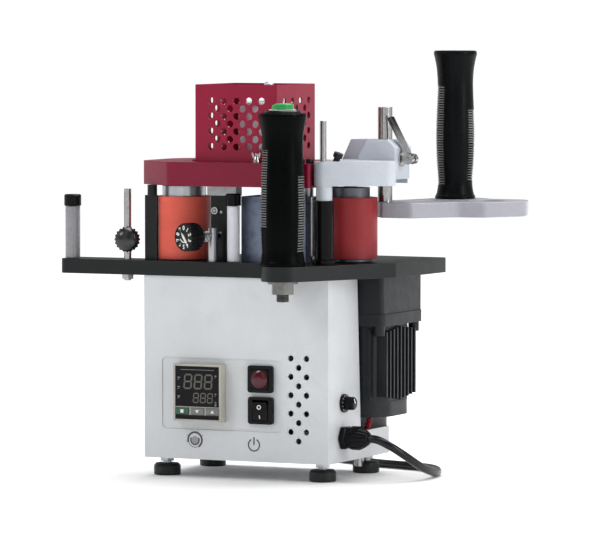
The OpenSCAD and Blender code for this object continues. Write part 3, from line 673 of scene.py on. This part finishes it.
# ---- knobs ----
def toothed(count, depth, low, high, power=1.0):
    """Flutes round a knob from low to high. A power under 1 makes them narrow, and over 1 wide."""
    def wobble(angle, radius, height):
        if low <= height <= high:
            wave = 0.5 + 0.5 * math.cos(count * angle)
            radius -= depth * (1 - wave ** power)
        return radius
    return wobble


def add_stop_knob():
    turn = math.radians(25)
    axis = Vector((math.sin(turn), -math.cos(turn), 0))
    origin = at(-21.5, 9, 218.5) + 5.3 * MM * axis
    outline = [(3.4, 0), (7.6, 0), (10.6, 0.9), (11.9, 2.2), (12, 3.6), (11.9, 5), (11.2, 6.3), (10.4, 7.6),
               (8.8, 9.3), (6.6, 10.8), (4, 11.8), (1.4, 12.25)]
    profile = spline_profile(in_mm(outline), 3)
    bm = bmesh.new()
    lathe(bm, profile, facing(origin, axis), 200, toothed(20, 0.0014, 0.0008, 0.0066, 0.6))
    show("stop_knob_ball", bm, "knob_gloss", "stop_screw", replaced=("stop_knob",))


def add_tension_knob():
    turn = math.radians(247)
    axis = Vector((math.cos(turn), math.sin(turn), 0))
    where = facing(at(66.7, 8, 223), axis)
    outline = [(2.5, -8), (2.5, 15), (7, 15), (7.2, 16.5), (9.6, 18), (12.2, 20), (13, 22), (13, 34),
               (12.2, 35.4), (11.2, 35.6), (11, 35.1), (0.5, 35.1)]
    bm = bmesh.new()
    lathe(bm, in_mm(outline), where, 144, toothed(24, 0.0009, 0.0181, 0.0341, 1.6))
    show("tension_dial_body", bm, "plastic", "tension_dial", replaced=("tension_knob",))
    face = where @ Matrix.Translation((0, 0, 35.1 * MM))
    bm = bmesh.new()
    pointer = [(-1.1, -6.4), (1.1, -6.4), (1.3, 1), (0, 5.4), (-1.3, 1)]
    prism(bm, in_mm(pointer), face @ Matrix.Rotation(math.radians(38), 4, "Z"), 0, 0.5 * MM)
    arc_band(bm, face, 4.1 * MM, 5.1 * MM, 200, 320, 0, 0.3 * MM, 16)
    show("tension_dial_pointer", bm, "pale_print", "tension_dial")
    for number in range(10):
        angle = math.radians(90 - 36 * number)
        spot = face @ Matrix.Translation((8.4 * MM * math.cos(angle), 8.4 * MM * math.sin(angle), 0))
        dial_number("tension_dial_%d" % number, str(number), 5.4 * MM,
                    spot @ Matrix.Rotation(angle - math.pi / 2, 4, "Z"), "pale_print", "tension_dial")
    spring = []
    turns = 4.5
    per_turn = 20
    for k in range(int(turns * per_turn) + 1):
        a = 2 * math.pi * k / per_turn
        h = (6.1 + 7.6 * k / (turns * per_turn)) * MM
        spring.append(where @ Vector((4.9 * MM * math.cos(a), 4.9 * MM * math.sin(a), h)))
    coil = wire("tension_coil", spring, 0.7 * MM, "chrome")
    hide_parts("tension_spring")


def dial_number(name, text, size, where, look, body):
    """A numeral on a dial, thick enough to cast an edge."""
    curve = bpy.data.curves.new(name, "FONT")
    curve.body = text
    curve.size = size
    curve.align_x = "CENTER"
    curve.align_y = "CENTER"
    curve.extrude = 0.15 * MM
    curve.offset = 0.16 * MM
    curve.materials.append(looks[look])
    obj = bpy.data.objects.new(name, curve)
    obj.matrix_world = where
    bpy.context.scene.collection.objects.link(obj)
    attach(obj, body)


def add_speed_marks():
    """Knurls and a pointer on the speed knob, and ticks on its dial plate."""
    low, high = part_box("speed_knob")
    _, dial_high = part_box("speed_dial")
    centre = Vector((0, (low.y + high.y) / 2, (low.z + high.z) / 2))
    wall = facing(centre + Vector((HOUSING_HIGH.x, 0, 0)), (1, 0, 0))
    outline = [(5.4, 3.3), (6.1, 3.8), (6.2, 5), (6.1, 10.2), (5.6, 11.3), (4.8, 11.9), (0.6, 12)]
    bm = bmesh.new()
    lathe(bm, in_mm(outline), wall, 96, toothed(18, 0.0004, 0.0045, 0.0105))
    show("speed_knob_cap", bm, "gloss", "speed_control", replaced=("speed_knob",))
    tip = facing(centre + Vector((high.x, 0, 0)), (1, 0, 0)) @ Matrix.Rotation(math.radians(25), 4, "Z")
    bm = bmesh.new()
    prism(bm, rectangle(0, 2.6 * MM, 1.3 * MM, 5 * MM, 0.5 * MM), tip, -0.1 * MM, 0.25 * MM)
    show("speed_pointer", bm, "pale_print", "speed_control")
    plate = facing(centre + Vector((dial_high.x, 0, 0)), (1, 0, 0))
    bm = bmesh.new()
    for k in range(11):
        turn = Matrix.Rotation(math.radians(-135 + 27 * k), 4, "Z")
        prism(bm, rectangle(0, 7.6 * MM, 0.5 * MM, 1.4 * MM), plate @ turn, -0.1 * MM, 0.12 * MM)
    show("speed_ticks", bm, "pale_print")


add_stop_knob()
add_tension_knob()
add_speed_marks()


# ---- cable gland: hex flange, ribbed lock nut and slotted dome ----
def add_gland():
    low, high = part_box("cable_gland")
    origin = Vector((HOUSING_HIGH.x, (low.y + high.y) / 2, (low.z + high.z) / 2))
    where = facing(origin, (1, 0, 0))
    bm = bmesh.new()
    lathe(bm, in_mm([(10.4, 0.1), (11.6, 0.8), (11.7, 5), (10.6, 6)]), where, 6)
    lathe(bm, in_mm([(9.6, 5.6), (9.8, 6.2), (9.8, 9.4), (9.4, 10)]), where, 48)
    show("gland_base", bm, "gloss", replaced=("cable_gland",))
    bm = bmesh.new()
    dome = [(10.2, 9), (11, 9.6), (11, 17), (10.5, 18.2), (9.4, 20.6), (7.9, 23.4), (6.4, 25.6), (5.2, 26.8),
            (4, 27)]
    lathe(bm, in_mm(dome), where, 120, toothed(12, 0.0008, 0.0096, 0.024, 0.35))
    show("gland_dome", bm, "gloss")
    bm = bmesh.new()
    lathe(bm, in_mm([(8, -10), (8, 0.2)]), where, 32)
    for k in range(5):
        h = -9 + 1.6 * k
        lathe(bm, in_mm([(7.6, h), (8.3, h + 0.5), (7.6, h + 1)]), where, 32)
    lathe(bm, in_mm([(11.3, -7), (11.5, -6.4), (11.5, -2.6), (11.2, -2)]), where, 6)
    show("gland_thread", bm, "plastic")


add_gland()


# ---- temperature controller ----
# Middle of each segment as a share of a digit's width and height, and whether the segment lies flat.
SEGMENTS = [(0.5, 1.0, True), (0.5, 0.5, True), (0.5, 0.0, True), (0.0, 0.75, False), (1.0, 0.75, False),
            (0.0, 0.25, False), (1.0, 0.25, False)]


def add_digit(bm, where, x, y, width, height, stroke):
    """All seven segments of one unlit digit, slanted a little."""
    for across, up, flat in SEGMENTS:
        cx, cy = x + across * width, y + up * height
        half = (width / 2 if flat else height / 4) - stroke * 0.62
        tip = stroke / 2
        if flat:
            shape = [(-half - tip, 0), (-half, -tip), (half, -tip),
                     (half + tip, 0), (half, tip), (-half, tip)]
        else:
            shape = [(0, -half - tip), (tip, -half), (tip, half),
                     (0, half + tip), (-tip, half), (-tip, -half)]
        outline = [(cx + px + 0.08 * (cy + py - y), cy + py) for px, py in shape]
        prism(bm, outline, where, 0, 0.12 * MM)


def add_controller():
    low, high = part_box("controller_case")
    where = facing(low, (0, -1, 0))
    key_low, key_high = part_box("set_button")
    key_bottom = key_low.z - low.z
    key_top = key_high.z - low.z
    width = high.x - low.x
    height = high.z - low.z
    rim = 2 * MM
    face = -0.35 * MM
    bm = bmesh.new()
    for bottom, top in ((key_top + 1.3 * MM, height - rim), (rim, key_bottom - 0.5 * MM)):
        prism(bm, rectangle(width / 2, (bottom + top) / 2, width - 2 * rim, top - bottom, 0.5 * MM), where,
              -0.9 * MM, face)
    show("controller_face", bm, "gloss")
    glass = where @ Matrix.Translation((0, 0, face))
    bm = bmesh.new()
    for k in range(3):
        add_digit(bm, glass, (10.8 + 10.4 * k) * MM, 30.4 * MM, 7 * MM, 12.6 * MM, 1.5 * MM)
        add_digit(bm, glass, (20.2 + 7.2 * k) * MM, 17.6 * MM, 4.8 * MM, 8.4 * MM, 1.05 * MM)
    show("controller_digits", bm, "digit", smooth=False)
    bm = bmesh.new()
    for x, y, w in ((5.4, 40.2, 2.4), (5.4, 31.6, 2.4), (5.4, 23, 2.4),
                    (43, 42.4, 1.6), (43, 25.6, 1.6), (43, 18, 1.6)):
        prism(bm, rectangle(x * MM, y * MM, w * MM, 0.9 * MM), glass, 0, 0.08 * MM)
        prism(bm, rectangle((x - 0.4) * MM, (y - 1.7) * MM, (w - 0.8) * MM, 0.5 * MM), glass, 0, 0.08 * MM)
    prism(bm, rectangle(width / 2, height - 5.2 * MM, 34 * MM, 0.35 * MM), glass, 0, 0.08 * MM)
    prism(bm, rectangle(43 * MM, 15.6 * MM, 1.8 * MM, 2 * MM, 0.8 * MM), glass, 0, 0.08 * MM)
    show("controller_marks", bm, "grey_print", smooth=False)
    symbols = {"set": [(-1.6, -1.6), (1.6, -1.6), (1.6, 1.6), (-1.6, 1.6)],
               "down": [(-2, 1.3), (0, -1.7), (2, 1.3)],
               "up": [(-2, -1.3), (2, -1.3), (0, 1.7)]}
    for key, shape in symbols.items():
        a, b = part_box(key + "_button")
        spot = facing(Vector(((a.x + b.x) / 2, a.y, (a.z + b.z) / 2)), (0, -1, 0))
        bm = bmesh.new()
        prism(bm, in_mm(shape), spot, -0.05 * MM, 0.1 * MM)
        show(key + "_button_mark", bm, "pale_print", key + "_key", smooth=False)


add_controller()


# ---- lamp, rocker and printed symbols ----
def add_lens():
    """A faceted round lens: rings of staggered diamonds over a shallow dome, on a square foot."""
    low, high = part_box("indicator_lens")
    centre = Vector(((low.x + high.x) / 2, low.y, (low.z + high.z) / 2))
    where = facing(centre, (0, -1, 0))
    bm = bmesh.new()
    prism(bm, rectangle(0, 0, high.x - low.x, high.z - low.z, 3 * MM), where, -4.9 * MM, -2.2 * MM)
    show("lamp_foot", bm, "gloss")
    bm = bmesh.new()
    count = 16
    rings = []
    dome = in_mm([(8.3, -2.5), (8.2, -1.5), (6.6, -0.75), (4.8, -0.3), (2.8, -0.08)])
    for step, (radius, height) in enumerate(dome):
        ring = []
        for k in range(count):
            a = 2 * math.pi * (k + 0.5 * (step % 2)) / count
            ring.append(bm.verts.new(where @ Vector((radius * math.cos(a), radius * math.sin(a), height))))
        rings.append(ring)
    for step, (outer, inner) in enumerate(zip(rings, rings[1:])):
        for k in range(count):
            j = (k + 1) % count
            if step % 2 == 0:
                bm.faces.new((outer[k], outer[j], inner[k]))
                bm.faces.new((outer[j], inner[j], inner[k]))
            else:
                bm.faces.new((outer[k], outer[j], inner[j]))
                bm.faces.new((outer[k], inner[j], inner[k]))
    middle = bm.verts.new(where @ Vector((0, 0, 0)))
    for k in range(count):
        bm.faces.new((rings[-1][k], rings[-1][(k + 1) % count], middle))
    show("lamp_lens", bm, "lens", smooth=False, replaced=("indicator_lens",))


def add_rocker_marks():
    """The off ring on the raised upper half and the on bar on the lower half."""
    low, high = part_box("power_rocker")
    centre = Vector(((low.x + high.x) / 2, HOUSING_LOW.y, (low.z + high.z) / 2))
    tilt = Matrix.Rotation(math.radians(9), 4, "X")
    for name, z, lean in (("off", 4.7, -9.2), ("on", -4.7, 9.2)):
        spot = tilt @ Vector((0, -4.62 * MM, z * MM))
        where = (Matrix.Translation(centre + spot) @ tilt @ Matrix.Rotation(math.radians(lean), 4, "X")
                 @ facing(Vector(), (0, -1, 0)))
        bm = bmesh.new()
        if name == "off":
            arc_band(bm, where, 1.3 * MM, 2.1 * MM, 0, 360, -0.1 * MM, 0.3 * MM, 24)
        else:
            prism(bm, rectangle(0, 0, 0.9 * MM, 4.2 * MM, 0.3 * MM), where, -0.1 * MM, 0.25 * MM)
        show("rocker_mark_" + name, bm, "pale_print", "power_switch", smooth=False)


def add_symbols():
    """Printed symbols on the front panel: a temperature dial and a power sign."""
    dial = facing(at(52.2, 0, 35.3), (0, -1, 0))
    bm = bmesh.new()
    arc_band(bm, dial, 6.2 * MM, 8 * MM, -60, 200, 0, 0.12 * MM)
    arc_band(bm, dial, 0.2 * MM, 4.9 * MM, 150, 390, 0, 0.1 * MM)
    for k in range(5):
        turn = Matrix.Rotation(math.radians(40 * k - 60), 4, "Z")
        prism(bm, rectangle(0, 9 * MM, 0.5 * MM, 0.9 * MM), dial @ turn, 0, 0.1 * MM)
    show("dial_symbol", bm, "dark_print", smooth=False)
    bm = bmesh.new()
    arc_band(bm, dial, 0.1 * MM, 3.6 * MM, 0, 360, 0.1 * MM, 0.16 * MM)
    arc_band(bm, dial, 6.2 * MM, 7.2 * MM, 204, 296, 0, 0.12 * MM)
    show("dial_symbol_light", bm, "grey_print", smooth=False)
    power = facing(at(112.4, 0, 33.0), (0, -1, 0))
    bm = bmesh.new()
    arc_band(bm, power, 4.9 * MM, 6.2 * MM, 118, 422, 0, 0.12 * MM)
    prism(bm, rectangle(0, 3.6 * MM, 1.3 * MM, 7.6 * MM, 0.5 * MM), power, 0, 0.12 * MM)
    show("power_symbol", bm, "dark_print", smooth=False)


add_lens()
add_rocker_marks()
add_symbols()


# ---- small fittings ----
def add_motor_leads():
    """Red leads wound together, from the tray up to the motor."""
    steps = 60
    for k in range(2):
        points = []
        for i in range(steps + 1):
            t = i / steps
            a = 2 * math.pi * (5 * t + k / 2)
            base = at(178 + 5 * t, 98 + 6 * t, 30 + 28 * t)
            points.append(base + MM * Vector((2.2 * math.cos(a), 2.2 * math.sin(a), 0.6 * math.sin(a))))
        lead = wire("motor_lead_%d" % k, points, 1.0 * MM, "red_wire")


def add_wing_nut():
    """A small chrome wing nut on the cover, in front of the guard."""
    _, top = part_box("drive_cover")
    centre = at(113, 4.2, 0)
    centre.z = top.z
    size = Matrix.Scale(0.9, 4)
    where = Matrix.Translation(centre) @ size
    wing = facing(centre, (0, -1, 0)) @ size
    bm = bmesh.new()
    lathe(bm, in_mm([(3.6, 0), (3.8, 1), (3.2, 3), (2.4, 6), (2.2, 6.4)]), where, 32)
    lathe(bm, in_mm([(1.5, 6), (1.5, 9), (1.1, 9.6)]), where, 24)
    for side in (-1, 1):
        shape = [(side * 1.5, 1.6), (side * 4.6, 6.4), (side * 5.1, 9.6), (side * 4.1, 10.8),
                 (side * 2.8, 9.4), (side * 1.5, 5.8)]
        prism(bm, in_mm(shape), wing, -0.7 * MM, 0.7 * MM)
    show("wing_nut", bm, "chrome")


def add_stub_tip():
    """The blackened thread end that shows under the handle nut."""
    low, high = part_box("handle_nut")
    where = Matrix.Translation(((low.x + high.x) / 2, (low.y + high.y) / 2, low.z))
    bm = bmesh.new()
    thread = [(4.4, -0.1), (5.5, 0.7)]
    for turn in range(5):
        thread += [(5.75, 1.1 + 1.2 * turn), (5.45, 1.7 + 1.2 * turn)]
    lathe(bm, in_mm(thread + [(5.75, 6.9)]), where, 40)
    show("stub_tip", bm, "plastic")


def add_tray_stud():
    """A bright stud hanging from the tray in front of the rear right foot."""
    tray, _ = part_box("base_tray")
    where = Matrix.Translation(at(178, 88, 0) + Vector((0, 0, tray.z)))
    bm = bmesh.new()
    lathe(bm, in_mm([(3.6, -9), (4.2, -8.6), (4.2, -3.2), (4.4, -3), (4.4, 0)]), where, 32)
    show("tray_stud", bm, "chrome")


def add_cutter_screws():
    """A ring screw and two small screws on the front of the cutter plate."""
    bm = bmesh.new()
    ring = facing(at(61.2, 23.6, 245.6), (0, -1, 0))
    arc_band(bm, ring, 2.1 * MM, 3.3 * MM, 0, 360, -0.3 * MM, 1.2 * MM, 28)
    lathe(bm, in_mm([(1.5, -0.3), (1.5, 0.9), (1.1, 1.3)]), ring, 20)
    for x, z in ((68.2, 244.4), (67.2, 224.9)):
        head = facing(at(x, 23.6, z), (0, -1, 0))
        lathe(bm, in_mm([(1.5, -0.3), (1.6, 0.9), (1.2, 1.3), (0.7, 1.3), (0.6, 0.7)]), head, 20)
    show("cutter_screws", bm, "steel")


add_motor_leads()
add_wing_nut()
add_stub_tip()
add_tray_stud()
add_cutter_screws()


# ---- room: a pale floor, a pale sky and soft lights ----
def add_room():
    scene = bpy.context.scene
    scene.view_settings.view_transform = "Standard"
    size = 60
    mesh = bpy.data.meshes.new("floor")
    corners = [(-size, -size, 0), (size, -size, 0), (size, size, 0), (-size, size, 0)]
    mesh.from_pydata(corners, [], [(0, 1, 2, 3)])
    floor_look = Surface("floor", (0.88, 0.88, 0.88), 0.7)
    floor_look.set("Emission Color", (1, 1, 1, 1))
    # The floor glows more from 0.25 m to 1.6 m away, so that it runs on into the white behind.
    away = floor_look.node("ShaderNodeVectorMath", operation="LENGTH")
    floor_look.link(floor_look.place, away.inputs[0])
    glow = floor_look.ramp(away.outputs["Value"], 0.25, 1.6, 0.02, 0.55)
    floor_look.link(glow, floor_look.shader.inputs["Emission Strength"])
    floor_look.tint(floor_look.noise(0.4), (0.87, 0.87, 0.87), 0.5)
    mesh.materials.append(floor_look.material)
    floor = bpy.data.objects.new("floor", mesh)
    scene.collection.objects.link(floor)
    add_sky(scene)


LIGHT_AIM = Vector((0, 0, 0.2))
# Brightness of the studio round the object against the sideways part of the direction.
STUDIO = [(0.0, 0.74), (0.17, 0.80), (0.22, 0.28), (0.36, 0.22), (0.41, 0.62), (0.56, 0.80), (0.66, 0.78),
          (0.71, 0.24), (0.82, 0.22), (0.87, 0.78), (1.0, 0.86)]


def add_sky(scene):
    """White behind the object; the light it gets has soft dark bands, which bright metal mirrors."""
    world = bpy.data.worlds.new("sky")
    scene.world = world
    world.use_nodes = True
    tree = world.node_tree
    back = tree.nodes["Background"]
    place = tree.nodes.new("ShaderNodeTexCoord")
    split = tree.nodes.new("ShaderNodeSeparateXYZ")
    shift = tree.nodes.new("ShaderNodeMapRange")
    shift.inputs["From Min"].default_value = -1.0
    ramp = tree.nodes.new("ShaderNodeValToRGB")
    seen = tree.nodes.new("ShaderNodeLightPath")
    choose = tree.nodes.new("ShaderNodeMix")
    choose.data_type = "RGBA"
    tree.links.new(place.outputs["Generated"], split.inputs[0])
    tree.links.new(split.outputs["X"], shift.inputs["Value"])
    tree.links.new(shift.outputs["Result"], ramp.inputs[0])
    stops = ramp.color_ramp.elements
    while len(stops) < len(STUDIO):
        stops.new(0.5)
    for stop, (position, level) in zip(stops, STUDIO):
        stop.position = position
        stop.color = (level, level, level * 1.01, 1)
    tree.links.new(seen.outputs["Is Camera Ray"], choose.inputs[0])
    tree.links.new(ramp.outputs[0], choose.inputs[6])
    choose.inputs[7].default_value = (1.02, 1.02, 1.02, 1)
    tree.links.new(choose.outputs[2], back.inputs["Color"])
    back.inputs["Strength"].default_value = 1.0


def add_light(name, place, size, power, tall=None):
    """A soft light of power watts, aimed at the middle of the object."""
    data = bpy.data.lights.new(name, "AREA")
    data.energy = power
    data.size = size
    if tall:
        data.shape = "RECTANGLE"
        data.size_y = tall
    light = bpy.data.objects.new(name, data)
    light.location = place
    light.rotation_euler = (LIGHT_AIM - Vector(place)).to_track_quat("-Z", "Y").to_euler()
    bpy.context.scene.collection.objects.link(light)


add_room()
add_light("key", (-1.2, -1.6, 1.7), 0.8, 17)
add_light("side", (2.2, -0.3, 1.0), 0.5, 17, 1.4)
add_light("top", (0.2, 0.6, 2.0), 1.6, 60)
